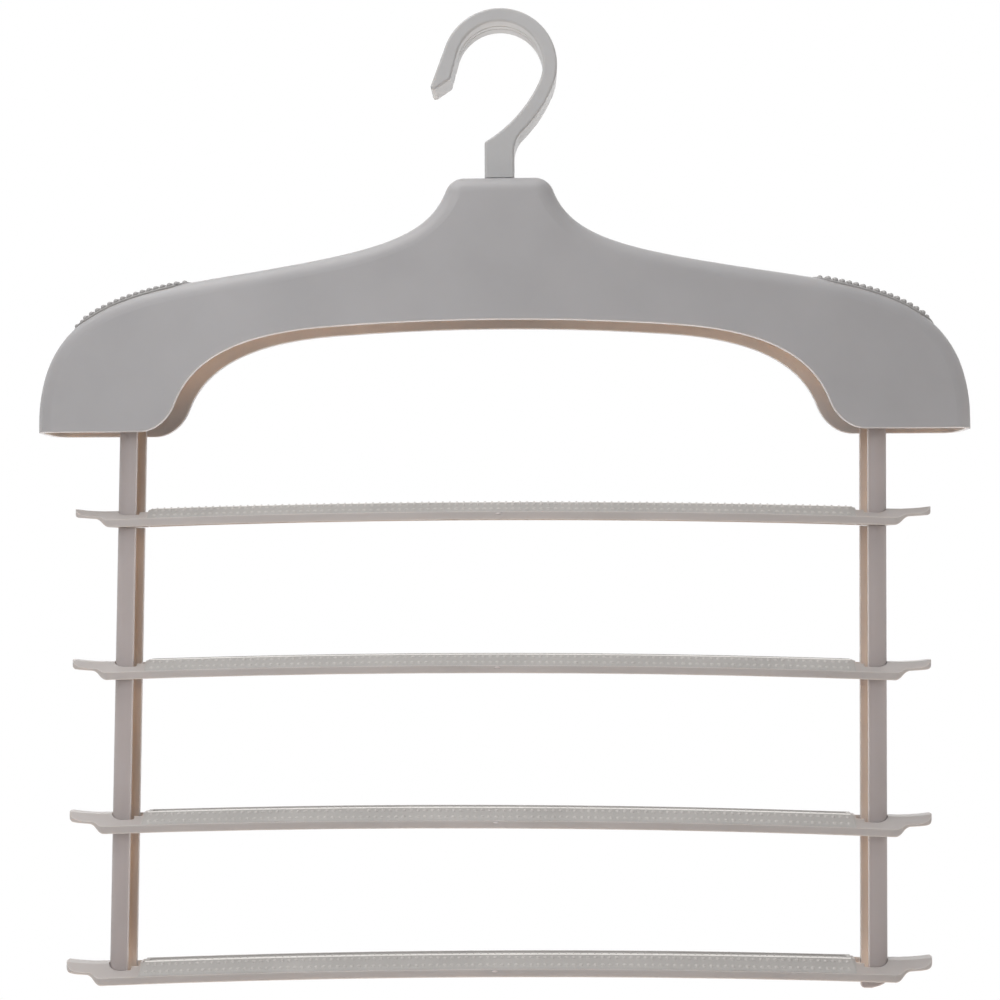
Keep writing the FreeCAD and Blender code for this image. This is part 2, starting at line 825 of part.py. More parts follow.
os.makedirs("parts", exist_ok=True)
save(swivel_hook(), "swivel_hook")
save(shoulder_shell(), "shoulder_shell")
bar = trouser_bar()
strip = grip_strip()
for side in sides:
    save(shoulder_pad(side), side + "_shoulder_pad")
for tier in range(tier_count):
    number = str(tier + 1)
    tier_link = link(link_pitch(tier), tier == tier_count - 1)
    for side in sides:
        save(hang_link(tier_link, side, tier), side + "_link_" + number)
    save(hang_bar(bar, tier), "trouser_bar_" + number)
    save(hang_bar(strip, tier), "grip_strip_" + number)
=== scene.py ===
# %% [markdown]
# # A four-tier pants hanger
#
# The real hanger is moulded in satin grey polypropylene: a hook that swivels, a hollow shoulder shell,
# four crowned bars and the links that carry them. Their solids come ready made, in metres, with the
# closet rail's centre at the origin, +Z up and -Y to the front. This lesson models the studded grips over
# them, gives each moulding its finish, lights it and places the camera. The box of the bare solids is
# kept, to compare with the finished object.

# %% Load the frame
import json
import math

import bmesh
import bpy
from mathutils import Matrix, Vector


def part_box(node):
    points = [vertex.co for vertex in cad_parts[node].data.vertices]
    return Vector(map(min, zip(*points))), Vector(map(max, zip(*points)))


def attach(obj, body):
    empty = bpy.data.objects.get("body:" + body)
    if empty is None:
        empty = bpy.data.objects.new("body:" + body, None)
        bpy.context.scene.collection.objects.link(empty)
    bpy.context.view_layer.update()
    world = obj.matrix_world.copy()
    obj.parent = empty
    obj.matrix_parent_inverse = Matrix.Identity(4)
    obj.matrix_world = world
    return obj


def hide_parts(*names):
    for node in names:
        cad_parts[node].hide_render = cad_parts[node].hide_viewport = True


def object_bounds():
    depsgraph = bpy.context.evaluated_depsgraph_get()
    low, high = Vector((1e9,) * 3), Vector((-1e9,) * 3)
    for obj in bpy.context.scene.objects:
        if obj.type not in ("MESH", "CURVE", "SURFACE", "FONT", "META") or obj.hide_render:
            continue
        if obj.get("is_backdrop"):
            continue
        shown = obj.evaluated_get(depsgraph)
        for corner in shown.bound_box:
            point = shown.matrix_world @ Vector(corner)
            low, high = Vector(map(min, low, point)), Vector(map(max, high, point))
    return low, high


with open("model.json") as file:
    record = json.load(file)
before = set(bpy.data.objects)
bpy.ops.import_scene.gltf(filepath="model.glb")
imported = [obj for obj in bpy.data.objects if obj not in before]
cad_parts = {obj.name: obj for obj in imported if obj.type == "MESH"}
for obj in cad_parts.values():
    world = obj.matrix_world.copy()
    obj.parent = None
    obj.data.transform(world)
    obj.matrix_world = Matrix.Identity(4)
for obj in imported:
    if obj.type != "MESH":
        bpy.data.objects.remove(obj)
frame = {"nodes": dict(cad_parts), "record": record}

solid_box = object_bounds()

# %% [markdown]
# ## Working by hand, from a script
#
# An operator acts on whatever is selected, and loading leaves the solids selected. So each step first
# deselects everything, then picks the one piece it works on. In edit mode, faces and edges are picked by
# their place or normal, as one would click them. A modifier is always applied, so that a finished piece
# is plain mesh.

# %% Helpers for picking, modifying and copying


def mm(value):
    return value / 1000


same_place = mm(0.01)
close_by = mm(0.1)
merge_gap = mm(0.002)
straight = 0.99
smooth_angle = math.radians(35)


def only(*pieces):
    """Selects these objects alone, the first of them active."""
    bpy.ops.object.select_all(action="DESELECT")
    for piece in pieces:
        piece.select_set(True)
    bpy.context.view_layer.objects.active = pieces[0]


def start(name):
    """Names the primitive that was just added, and puts its place and turn into its mesh."""
    piece = bpy.context.active_object
    piece.name = name
    only(piece)
    bpy.ops.object.transform_apply(location=True, rotation=True, scale=True)
    return piece


def edit(piece):
    only(piece)
    bpy.ops.object.mode_set(mode="EDIT")
    bpy.ops.mesh.select_all(action="SELECT")


def leave_edit():
    bpy.ops.object.mode_set(mode="OBJECT")


def pick(piece, kind, wanted):
    """In edit mode, selects only the vertices, edges or faces that a test wants, and counts them."""
    bpy.ops.mesh.select_mode(type=kind)
    bpy.ops.mesh.select_all(action="DESELECT")
    shape = bmesh.from_edit_mesh(piece.data)
    items = {"VERT": shape.verts, "EDGE": shape.edges, "FACE": shape.faces}[kind]
    found = [item for item in items if wanted(item)]
    for item in found:
        item.select_set(True)
    bmesh.update_edit_mesh(piece.data)
    return len(found)


def modify(piece, kind, **settings):
    """Adds a modifier, sets it and applies it."""
    only(piece)
    modifier = piece.modifiers.new(kind.lower(), kind)
    for name, value in settings.items():
        setattr(modifier, name, value)
    bpy.ops.object.modifier_apply(modifier=modifier.name)


def copy_of(piece, name):
    """A copy with its own mesh."""
    only(piece)
    bpy.ops.object.duplicate(linked=False)
    twin = bpy.context.active_object
    twin.name = name
    return twin


def put(piece, place):
    """Moves a piece by a matrix, and keeps the move in its mesh."""
    only(piece)
    piece.matrix_world = place
    bpy.ops.object.transform_apply(location=True, rotation=True, scale=True)


def join(*pieces):
    only(*pieces)
    bpy.ops.object.join()
    return bpy.context.active_object


def mend(piece):
    """Merges doubles and turns every face outwards."""
    edit(piece)
    bpy.ops.mesh.remove_doubles(threshold=merge_gap)
    bpy.ops.mesh.normals_make_consistent(inside=False)
    leave_edit()


def draw_face(name, corners):
    """A flat face drawn corner by corner: one vertex, extruded from each corner to the next."""
    bpy.ops.object.select_all(action="DESELECT")
    bpy.ops.mesh.primitive_plane_add(size=mm(1), location=corners[0])
    piece = start(name)
    edit(piece)
    bpy.ops.mesh.merge(type="CENTER")
    for here, there in zip(corners, corners[1:]):
        bpy.ops.mesh.extrude_vertices_move(TRANSFORM_OT_translate={"value": there - here})
    bpy.ops.mesh.select_all(action="SELECT")
    bpy.ops.mesh.edge_face_add()
    leave_edit()
    return piece


# %% [markdown]
# ## Where the tiers hang
#
# Each bar is crowned: its crease, the line where the sloping deck meets the upright skirt, rises a little
# towards the middle on a very large circle. A strip is modelled once, with the crease at Z = 0 beside the
# links, and then hung on each tier. The solid strips' boxes give the heights and the slight lean of the
# chains to the left. The lowest bar's right end sits a little high on its link, so that tier is also
# turned about its left link.

# %% The crown and the places of the tiers
tiers = (1, 2, 3, 4)
crown_r = mm(4700)
link_centre_x = mm(161.6)
strip_half_length = mm(151.8)
strip_rise = mm(4.5)
lowest_bar_lift = mm(3.6)
crown_at_links = crown_r - math.sqrt(crown_r ** 2 - link_centre_x ** 2)
crown_centre = Vector((0, 0, crown_at_links - crown_r))


def crown_z(x):
    return math.sqrt(crown_r ** 2 - x ** 2) + crown_centre.z


def hang_place(tier):
    """The place of a tier: a shift for the upper ones, and a shift and a turn for the lowest."""
    upper = min(tier, tiers[-2])
    low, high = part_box(f"grip_strip_{upper}")
    shift = Vector(((low.x + high.x) / 2, 0, high.z - strip_rise - crown_at_links))
    if tier == upper:
        return Matrix.Translation(shift)
    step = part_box(f"left_link_{tier}")[0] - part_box(f"left_link_{upper}")[0]
    pivot = Matrix.Translation(Vector((-link_centre_x, 0, 0)))
    turn = Matrix.Rotation(-math.atan2(lowest_bar_lift, 2 * link_centre_x), 4, "Y")
    return Matrix.Translation(shift + step) @ pivot @ turn @ pivot.inverted()


tier_places = {tier: hang_place(tier) for tier in tiers}
for tier, place in tier_places.items():
    print("tier", tier, "hangs at", [round(v * 1000, 2) for v in place.to_translation()], "mm")

# %% [markdown]
# ## The grip strip
#
# The strip is a rubbery ridge let into the bar's deck, with a groove along its top. It could be lofted or
# extruded along a curve, but its back follows a true circle, so its section is drawn as a face and spun
# about the crown's centre. Half of it is spun. The outer end is sloped off with a bisect cut, and a
# mirror makes the other half. The groove is then inset and pressed down into the top, and its end corners
# are beveled round. So are the long outer edges of the two lips beside it, which take a lighter grey as a
# painted highlight.

# %% Spin half of the strip from its section
strip_half_depth = mm(9.5)
ridge_half = mm(2.7)
foot_rise = mm(0.3)
seat_rise = mm(0.232)
seat_half = mm(2.3)
seat_top = mm(2.85)
spin_steps = 20

front = [
    (ridge_half, strip_rise),
    (strip_half_depth, foot_rise),
    (strip_half_depth, seat_rise),
    (seat_half, seat_top),
]
section = [Vector((0, -y, crown_at_links + z)) for y, z in front]
section += [Vector((0, y, crown_at_links + z)) for y, z in reversed(front)]
strip = draw_face("grip_strip", section)
grip_elastomer = bpy.data.materials.new("elastomer_grip")
# The lips' lighter grey is a painted highlight along their rounded edges.
lip_highlight_elastomer = bpy.data.materials.new("elastomer_lip_highlight")
# The studs' lighter grey is a painted highlight on their tips.
stud_highlight_elastomer = bpy.data.materials.new("elastomer_stud_highlight")
strip.data.materials.append(grip_elastomer)
strip.data.materials.append(lip_highlight_elastomer)
edit(strip)
strip_angle = math.asin(strip_half_length / crown_r)
bpy.ops.mesh.spin(steps=spin_steps, angle=-strip_angle, center=crown_centre, axis=(0, 1, 0))
pick(strip, "FACE", lambda face: abs(face.calc_center_median().x) < same_place)
bpy.ops.mesh.delete(type="FACE")
leave_edit()
mend(strip)
print("half a strip, out to", [round(v * 1000, 2) for v in strip.dimensions], "mm")

# %% Slope off its end, and mirror it
deck_rise = mm(4.0)
ramp_facing = (1, 0, 1)
ramp_foot = Vector((strip_half_length, 0, crown_z(strip_half_length) + deck_rise))
edit(strip)
bpy.ops.mesh.bisect(plane_co=ramp_foot, plane_no=ramp_facing, use_fill=True, clear_outer=True)
leave_edit()
modify(strip, "MIRROR", use_axis=(True, False, False), merge_threshold=same_place)
print("whole strip", [round(v * 1000, 2) for v in strip.dimensions], "mm")

# %% Press the groove into its top
groove_end = mm(149.4)
groove_depth = mm(0.5)
groove_corner = mm(1.4)
groove_corner_steps = 6
lip = mm(1.1)
lip_round = mm(0.55)
lip_round_steps = 4
long_edge = mm(1)
soft_edge = mm(0.15)
sharp_angle = math.radians(40)


def on_top(face):
    middle = face.calc_center_median()
    within = abs(middle.y) < ridge_half and abs(middle.x) < groove_end + lip
    return within and face.normal.z > straight and middle.z > crown_at_links


def in_corner(edge):
    """The short upright edges in the groove's end corners."""
    a, b = (vert.co for vert in edge.verts)
    upright = abs(a.z - b.z) > groove_depth / 2 and abs(a.x - b.x) < close_by
    return upright and abs(abs(a.x) - groove_end) < close_by and abs(a.y) < ridge_half


def on_lip(edge):
    """The long outer edges of the two lips beside the groove."""
    a, b = (vert.co for vert in edge.verts)
    level = min(a.z - crown_z(a.x), b.z - crown_z(b.x)) > strip_rise - close_by
    outer = abs(abs(a.y) - ridge_half) < close_by and abs(abs(b.y) - ridge_half) < close_by
    return level and outer and abs(a.x - b.x) > long_edge


edit(strip)
for way in (-1, 1):
    bpy.ops.mesh.select_all(action="SELECT")
    bpy.ops.mesh.bisect(plane_co=(way * (groove_end + lip), 0, 0), plane_no=(1, 0, 0))
top_faces = pick(strip, "FACE", on_top)
bpy.ops.mesh.inset(thickness=lip)
bpy.ops.mesh.extrude_region_move(TRANSFORM_OT_translate={"value": (0, 0, -groove_depth)})
corner_edges = pick(strip, "EDGE", in_corner)
bpy.ops.mesh.bevel(offset=groove_corner, segments=groove_corner_steps, affect="EDGES")
leave_edit()
mend(strip)
edit(strip)
lip_edges = pick(strip, "EDGE", on_lip)
# The rounded lip edges take the second material, the painted highlight.
bpy.ops.mesh.bevel(offset=lip_round, segments=lip_round_steps, affect="EDGES", material=1)
leave_edit()
modify(strip, "BEVEL", width=soft_edge, segments=2, limit_method="ANGLE", angle_limit=sharp_angle)
print("groove pressed from", top_faces, "faces")
print(corner_edges, "corners and", lip_edges, "lip edges rounded")

# %% [markdown]
# ## Pegs and studs
#
# Under the strip, seven pegs go down through the bar's deck. On its slopes stand rows of low round studs,
# which hold cloth by friction. There are hundreds, so a stud is only the cap of a coarse sphere, cut off
# with a bisect and closed below. One stud is tilted to the slope, and spin, told to duplicate, repeats it
# along the crown as a row. A mirror copies the front slope's two rows to the rear slope. The front lip
# has a row of smaller studs of its own, in line with the others.

# %% Seven pegs under the strip
peg_r = mm(1.4)
peg_sides = 20
peg_tip_round = mm(0.3)
peg_low = mm(0.7)
peg_high = mm(3.2)
peg_reach = mm(132.6)
peg_count = 7

bpy.ops.object.select_all(action="DESELECT")
peg_middle = (0, 0, (peg_low + peg_high) / 2)
bpy.ops.mesh.primitive_cylinder_add(
    vertices=peg_sides, radius=peg_r, depth=peg_high - peg_low, location=peg_middle)
peg = start("peg")
edit(peg)
pick(peg, "FACE", lambda face: face.normal.z < -straight)
bpy.ops.mesh.bevel(offset=peg_tip_round, segments=3, affect="EDGES")
leave_edit()
pegs = []
for index in range(peg_count):
    x = peg_reach * (2 * index / (peg_count - 1) - 1)
    pegs.append(copy_of(peg, f"peg_{index}"))
    put(pegs[-1], Matrix.Translation((x, 0, crown_z(x))))
print(len(pegs), "pegs of", len(peg.data.polygons), "faces")

# %% Rows of studs along the front, mirrored to the rear
stud_sides = 10
stud_rings = 12
stud_sunk = mm(0.1)
fine_cut = mm(0.001)
stud_pitch = mm(3.04)
stud_reach = mm(149.3)
stud_r = mm(1.0)
stud_height = mm(0.42)
slope_row_depths = (mm(4.4), mm(7.8))
lip_stud_r = mm(0.5)
lip_stud_height = mm(0.32)
lip_row_depth = mm(2.0)
slope = math.atan2(strip_rise - foot_rise, strip_half_depth - ridge_half)


def round_stud(name, radius, height):
    """A domed stud on Z = 0, the cap of a coarse sphere, sunk a little into what it stands on."""
    cap = height + stud_sunk
    sphere_r = (radius ** 2 + cap ** 2) / (2 * cap)
    bpy.ops.object.select_all(action="DESELECT")
    bpy.ops.mesh.primitive_uv_sphere_add(
        segments=stud_sides, ring_count=stud_rings, radius=sphere_r, location=(0, 0, height - sphere_r))
    stud = start(name)
    edit(stud)
    bpy.ops.mesh.bisect(
        plane_co=(0, 0, -stud_sunk), plane_no=(0, 0, 1), use_fill=True, clear_inner=True, threshold=fine_cut)
    leave_edit()
    return stud


def stud_row(depth, radius, height):
    """A row along the front at a depth from the middle plane, on the lip or on the slope."""
    on_slope = depth > ridge_half
    rise = foot_rise + (strip_half_depth - depth) * math.tan(slope) if on_slope else strip_rise
    gaps = int(2 * stud_reach / stud_pitch)
    first = -gaps * stud_pitch / 2 / crown_r
    row = round_stud("stud_row", radius, height)
    row.data.materials.append(stud_highlight_elastomer)
    tilt = Matrix.Rotation(first, 4, "Y") @ Matrix.Rotation(slope if on_slope else 0, 4, "X")
    arm = Vector((math.sin(first), 0, math.cos(first))) * (crown_r + rise)
    put(row, Matrix.Translation(crown_centre + arm - Vector((0, depth, 0))) @ tilt)
    edit(row)
    bpy.ops.mesh.spin(steps=gaps, dupli=True, angle=2 * first, center=crown_centre, axis=(0, 1, 0))
    leave_edit()
    return row


rows = join(*[stud_row(depth, stud_r, stud_height) for depth in slope_row_depths])
modify(rows, "MIRROR", use_axis=(False, True, False), use_mirror_merge=False)
rows = join(rows, stud_row(lip_row_depth, lip_stud_r, lip_stud_height))
mend(rows)
print("studs on a strip:", len(rows.data.polygons), "faces")

# %% Hang a strip on each tier
strip_model = join(strip, rows, *pegs)
bpy.ops.object.shade_smooth_by_angle(angle=smooth_angle)
for tier, place in tier_places.items():
    hung = copy_of(strip_model, f"studded_strip_{tier}")
    put(hung, place)
    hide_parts(f"grip_strip_{tier}")
    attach(hung, "frame")
    stands = max(vert.co.z for vert in hung.data.vertices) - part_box(f"grip_strip_{tier}")[1].z
    print("the studs of strip", tier, "stand", round(stands * 1000, 2), "mm over its solid")
for spent in (strip_model, peg):
    bpy.data.objects.remove(spent)

# %% [markdown]
# ## The shoulder pads
#
# A pad is a long, thin strip of the same rubbery plastic, let into the top of a shoulder, with a square
# grid of studs on its back. It must follow the shoulder's bend. So a flat outline with round ends is cut
# into small cells, dropped on the solid pad with a Shrinkwrap modifier, given a thickness with Solidify
# and soft edges with Bevel. The studs stand square to the surface: a ray shot down at the solid pad finds
# each stud's place and direction, and the next row across is one pitch along the bend.

# %% A pad that follows the shoulder
pad_half_width = mm(10.95)
pad_edge_gap = mm(0.05)
pad_thickness = mm(1.4)
pad_cell = mm(2.6)
pad_length_cuts = (-0.75, -0.4, 0, 0.4, 0.75)
pad_outline_points = 48
pad_edge_round = mm(0.25)
pad_sharp_angle = math.radians(50)
pad_stud_r = mm(1.2)
pad_stud_height = mm(1.1)
pad_stud_pitch = mm(3.04)
pad_stud_margin = mm(0.8)
pad_row_count = 7
ray_height = mm(20)
pad_elastomer = bpy.data.materials.new("elastomer_pad")


def pad_sheet(name, low, high):
    """A flat sheet with round ends over a solid pad's box, cut into cells."""
    inner = Vector((low.x + pad_edge_gap + pad_half_width, 0, high.z + ray_height))
    outer_shift = Vector((high.x - low.x - 2 * pad_edge_gap - 2 * pad_half_width, 0, 0))
    bpy.ops.object.select_all(action="DESELECT")
    bpy.ops.mesh.primitive_circle_add(
        vertices=pad_outline_points, radius=pad_half_width, fill_type="NGON", location=inner)
    sheet = start(name)
    edit(sheet)
    pick(sheet, "VERT", lambda vert: vert.co.x > inner.x + same_place)
    bpy.ops.transform.translate(value=outer_shift)
    cells = round((high.x - low.x) / pad_cell)
    for cell in range(1, cells):
        bpy.ops.mesh.select_all(action="SELECT")
        bpy.ops.mesh.bisect(plane_co=low.lerp(high, cell / cells), plane_no=(1, 0, 0))
    for share in pad_length_cuts:
        bpy.ops.mesh.select_all(action="SELECT")
        bpy.ops.mesh.bisect(plane_co=(0, share * pad_half_width, 0), plane_no=(0, 1, 0))
    leave_edit()
    return sheet


def on_pad(solid, x, depth, top):
    """The point and the direction of the solid pad's back under a place, found with a ray."""
    hit, place, normal, _ = solid.ray_cast(Vector((x, depth, top + ray_height)), Vector((0, 0, -1)))
    return (place, normal) if hit else None


def stud_places(solid, low, high):
    """A square grid of places and directions on the pad's back, one pitch apart along its bend."""
    places = []
    reach = pad_half_width - pad_stud_margin
    x = low.x + pad_edge_gap + pad_stud_r
    while x < high.x - pad_edge_gap - pad_stud_r:
        end_centre = min(max(x, low.x + pad_half_width), high.x - pad_half_width)
        for row in range(pad_row_count):
            depth = (row - (pad_row_count - 1) / 2) * pad_stud_pitch
            if math.hypot(x - end_centre, depth) < reach:
                places.append(on_pad(solid, x, depth, high.z))
        x += pad_stud_pitch * on_pad(solid, x, 0, high.z)[1].z
    return [place for place in places if place]


def studded_pad(side):
    """Makes the pad of a side, with its studs, in place of its solid."""
    solid = frame["nodes"][f"{side}_shoulder_pad"]
    low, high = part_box(f"{side}_shoulder_pad")
    pad = pad_sheet(f"{side}_studded_pad", low, high)
    pad.data.materials.append(pad_elastomer)
    modify(
        pad, "SHRINKWRAP", target=solid, wrap_method="PROJECT", use_project_z=True,
        use_negative_direction=True, use_positive_direction=False,
    )
    modify(pad, "SOLIDIFY", thickness=pad_thickness, offset=-1)
    modify(pad, "BEVEL", width=pad_edge_round, segments=3, limit_method="ANGLE", angle_limit=pad_sharp_angle)
    pattern = round_stud("pad_stud", pad_stud_r, pad_stud_height)
    pattern.data.materials.append(pad_elastomer)
    studs = []
    for place, normal in stud_places(solid, low, high):
        studs.append(copy_of(pattern, "pad_stud_copy"))
        put(studs[-1], Matrix.Translation(place) @ normal.to_track_quat("Z", "Y").to_matrix().to_4x4())
    bpy.data.objects.remove(pattern)
    pad = join(pad, *studs)
    bpy.ops.object.shade_smooth_by_angle(angle=smooth_angle)
    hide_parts(f"{side}_shoulder_pad")
    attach(pad, "frame")
    print(side, "pad:", len(studs), "studs,", len(pad.data.polygons), "faces")


for side in ("left", "right"):
    studded_pad(side)

# %% [markdown]
# ## Gate marks
#
# Where the melt entered the mould, each bar keeps a tiny nub in the middle of its front, just under the
# crease. It is the front of a flattened sphere, cut off with a bisect a little behind the skirt's face.

# %% A gate mark on each bar
gate_sides = 16
gate_rings = 8
gate_half_width = mm(1.25)
gate_half_height = mm(0.45)
gate_proud = mm(0.3)
gate_sunk = mm(0.1)
gate_drop = mm(0.75)
gate_smooth_angle = math.radians(50)
skirt_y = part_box("trouser_bar_1")[0].y

bpy.ops.object.select_all(action="DESELECT")
bpy.ops.mesh.primitive_uv_sphere_add(
    segments=gate_sides, ring_count=gate_rings, scale=(gate_half_width, gate_proud, gate_half_height))
gate = start("gate_mark")
edit(gate)
bpy.ops.mesh.bisect(
    plane_co=(0, gate_sunk, 0), plane_no=(0, 1, 0), use_fill=True, clear_outer=True, threshold=fine_cut)
leave_edit()
bpy.ops.object.shade_smooth_by_angle(angle=gate_smooth_angle)
gates = []
for tier, place in tier_places.items():
    gates.append(copy_of(gate, f"gate_mark_{tier}"))
    put(gates[-1], place @ Matrix.Translation((0, skirt_y, crown_at_links - gate_drop)))
    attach(gates[-1], "frame")
bpy.data.objects.remove(gate)
print(len(gates), "gate marks at the skirts' front, y =", round(skirt_y * 1000, 2), "mm")

# %% [markdown]
# ## Colours and nodes
#
# Colours are written as hex values, as a paint program shows them, and turned to the linear values that
# shaders work with. One small function adds a node, sets its sockets or its own settings, and links other
# nodes' outputs to it.

# %% Helpers for colours and nodes


def linear(code):
    """An sRGB hex colour as linear RGBA."""
    channels = [int(code[i:i + 2], 16) / 255 for i in (1, 3, 5)]
    return [c / 12.92 if c <= 0.04045 else ((c + 0.055) / 1.055) ** 2.4 for c in channels] + [1.0]


def node(tree, kind, settings=None, links=None):
    """Adds a node. Settings name its properties or sockets, and links feed outputs to its sockets."""
    made = tree.nodes.new(kind)
    for name, value in (settings or {}).items():
        if isinstance(name, str) and hasattr(made, name):
            setattr(made, name, value)
        else:
            made.inputs[name].default_value = value
    for name, output in (links or {}).items():
        tree.links.new(output, made.inputs[name])
    return made


def empty_tree(owner):
    """The node tree of a material or world, with nothing in it yet."""
    owner.use_nodes = True
    owner.node_tree.nodes.clear()
    return owner.node_tree


def per_metre(size_mm):
    """The scale of a noise whose grains are about this size."""
    return 1 / mm(size_mm)


# %% [markdown]
# ## What the two plastics share
#
# Both plastics change shade a little in clouds, are painted another shade in their hollows, as painted light
# and shade, and have a fine grain that makes the surface uneven and its gloss with it. Ambient occlusion
# tells the hollows from the open surface: it is the share of the sky that a point can see. A Mix node has
# sockets of one name for numbers and for colours, so its colour sockets are called by their places.

# %% Clouds, hollows and grain
mix_first, mix_second, mix_result = 6, 7, 2
cloud_detail = 3.0
cloud_low, cloud_high = 0.3, 0.7
grain_detail = 2.0
hollow_samples = 8


def clouds(tree, where, size_mm, swing):
    """A factor that drifts by this share to either side of 1."""
    noise = node(
        tree, "ShaderNodeTexNoise", {"Scale": per_metre(size_mm), "Detail": cloud_detail}, {"Vector": where})
    drift = node(
        tree, "ShaderNodeMapRange",
        {"From Min": cloud_low, "From Max": cloud_high, "To Min": 1 - swing, "To Max": 1 + swing},
        {"Value": noise.outputs["Fac"]})
    return drift.outputs["Result"]


def painted_hollow_shading(tree, reach_mm, shut, wide, hollow_shade_colour, grey):
    """Painted light and shade: a colour for points that see a shut share of the sky, which goes over to the
    grey of wide ones.
    """
    sky = node(
        tree, "ShaderNodeAmbientOcclusion",
        {"Distance": mm(reach_mm), "samples": hollow_samples, "only_local": True})
    share = node(
        tree, "ShaderNodeMapRange", {"From Min": shut, "From Max": wide}, {"Value": sky.outputs["AO"]})
    shade = node(
        tree, "ShaderNodeMix", {"data_type": "RGBA", mix_first: linear(hollow_shade_colour), mix_second: linear(grey)},
        {0: share.outputs["Result"]})
    return shade.outputs[mix_result]


def scaled(tree, colour, factor):
    made = node(tree, "ShaderNodeVectorMath", {"operation": "SCALE"}, {0: colour, "Scale": factor})
    return made.outputs["Vector"]


def grain(tree, where, size_mm):
    """The height of a fine even grain, from 0 to 1."""
    noise = node(
        tree, "ShaderNodeTexNoise", {"Scale": per_metre(size_mm), "Detail": grain_detail}, {"Vector": where})
    return noise.outputs["Fac"]


def uneven_gloss(tree, height, roughness, swing):
    """A roughness that follows the grain."""
    made = node(
        tree, "ShaderNodeMapRange", {"To Min": roughness - swing, "To Max": roughness + swing},
        {"Value": height})
    return made.outputs["Result"]


print("helpers for clouds, hollows and grain")

# %% [markdown]
# ## Moulded polypropylene
#
# Polypropylene has an index of about 1.49 and a soft, waxy gloss. It is a little translucent: light that
# enters a thin wall comes out again a few millimetres away, so a wall glows where a lamp stands behind
# it. The mould was spark-eroded, so the surface has a fine even grain that spreads highlights. The melt's
# flow leaves faint clouds a few centimetres wide. The edges get a painted highlight, a lighter colour where
# the normal of a widely rounded surface leaves the true one. The hollows are painted a warmer shade of their
# own, lighter on the hook, shell and links and darker on the bars and gate marks: painted light and shade
# for the light that bounces from wall to wall and glows through the thin walls, and for the shade there.
# Grain of 0.2 mm is too fine to show here, so it is drawn at 0.7 mm.

# %% The polypropylene of the hook, shell, bars and links
plastic_index = 1.49
plastic_cloud_mm = 38
plastic_cloud_swing = 0.045
plastic_grain_mm = 0.7
plastic_grain_depth_mm = 0.05
plastic_grain_strength = 0.25
plastic_gloss_swing = 0.06
# The share of sky where the cavities' painted shade is full, and where it gives way to the grey.
cavity_shut, cavity_wide = 0.35, 0.8
edge_samples = 6
edge_round_mm = 0.4
# Where the painted edge highlight starts, where it is full, and how strong it is.
edge_highlight_start, edge_highlight_full, edge_highlight_share = 0.99, 0.86, 0.9
glow_share = 0.6
glow_mm = 2.5
glow_radius = (1.0, 0.88, 0.78)


def painted_edge_highlight(tree, body, edge_highlight_colour, edge_highlight_mm):
    """The body's shade, with a painted highlight of another colour on edges, as wide as this."""
    rounded = node(tree, "ShaderNodeBevel", {"samples": edge_samples, "Radius": mm(edge_highlight_mm)})
    true = node(tree, "ShaderNodeNewGeometry")
    along = node(
        tree, "ShaderNodeVectorMath", {"operation": "DOT_PRODUCT"},
        {0: rounded.outputs["Normal"], 1: true.outputs["Normal"]})
    edge_highlight_mask = node(
        tree, "ShaderNodeMapRange", {"From Min": edge_highlight_start, "From Max": edge_highlight_full, "To Max": edge_highlight_share},
        {"Value": along.outputs["Value"]})
    with_edge_highlight = node(
        tree, "ShaderNodeMix", {"data_type": "RGBA", mix_second: linear(edge_highlight_colour)},
        {0: edge_highlight_mask.outputs["Result"], mix_first: body})
    return with_edge_highlight.outputs[mix_result]


def moulded_polypropylene(name, grey, cavity_shade_colour, cavity_mm, edge_highlight_colour, edge_highlight_mm, roughness):
    """Polypropylene of this grey, with the painted shade and reach of its cavities and the painted highlight
    and width of its edges.
    """
    material = bpy.data.materials.new(name)
    tree = empty_tree(material)
    where = node(tree, "ShaderNodeTexCoord").outputs["Object"]
    # Painted light and shade in the cavities, then a painted highlight on the edges.
    body = painted_hollow_shading(tree, cavity_mm, cavity_shut, cavity_wide, cavity_shade_colour, grey)
    with_edge_highlight = painted_edge_highlight(tree, body, edge_highlight_colour, edge_highlight_mm)
    tone = scaled(tree, with_edge_highlight, clouds(tree, where, plastic_cloud_mm, plastic_cloud_swing))
    height = grain(tree, where, plastic_grain_mm)
    edge = node(tree, "ShaderNodeBevel", {"samples": edge_samples, "Radius": mm(edge_round_mm)})
    relief = node(
        tree, "ShaderNodeBump", {"Strength": plastic_grain_strength, "Distance": mm(plastic_grain_depth_mm)},
        {"Height": height, "Normal": edge.outputs["Normal"]})
    glow = {
        "Subsurface Weight": glow_share,
        "Subsurface Scale": mm(glow_mm),
        "Subsurface Radius": glow_radius,
    }
    shader = node(
        tree, "ShaderNodeBsdfPrincipled", {"IOR": plastic_index, **glow},
        {"Base Color": tone, "Roughness": uneven_gloss(tree, height, roughness, plastic_gloss_swing),
         "Normal": relief.outputs["Normal"]})
    node(tree, "ShaderNodeOutputMaterial", links={"Surface": shader.outputs["BSDF"]})
    print("material", name)
    return material


